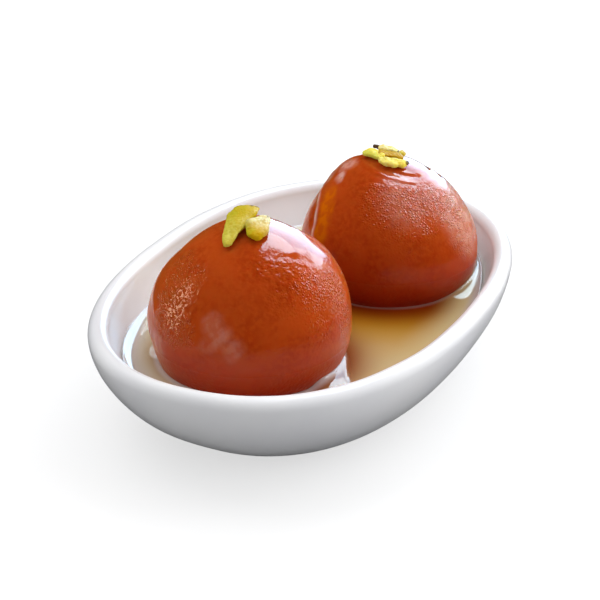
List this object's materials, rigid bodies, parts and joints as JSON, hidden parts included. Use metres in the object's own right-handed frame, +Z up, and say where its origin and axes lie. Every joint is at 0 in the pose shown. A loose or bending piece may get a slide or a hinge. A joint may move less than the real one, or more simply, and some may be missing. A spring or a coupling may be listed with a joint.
{
  "type": "gulab jamun",
  "caption": "Round syrup-soaked milk sweets topped with chopped pistachio, standing in syrup in an oval white dish.",
  "frame": {"origin": "on the table under the middle of the dish", "axes": "+X along the dish, towards the end that holds jamun_back; +Z up"},
  "size_m": [0.1292, 0.0874, 0.052],
  "materials": {
    "white_glaze": "gloss white glaze",
    "sugar_syrup": "clear golden liquid, wet gloss",
    "jamun_crust": "fried orange-brown skin under a wet syrup coat",
    "pistachio": "satin yellow-green nut",
    "pistachio_skin": "matt purple-brown nut skin"
  },
  "bodies": {
    "root": {"bowl": "white_glaze", "syrup": "sugar_syrup", "jamun_front": "jamun_crust", "jamun_back": "jamun_crust", "pistachio_long": "pistachio", "pistachio_chunk": "pistachio", "pistachio_left": "pistachio", "pistachio_bowed": "pistachio", "pistachio_upper": "pistachio", "pistachio_small": "pistachio", "pistachio_dark": "pistachio_skin"}
  },
  "joints": []
}
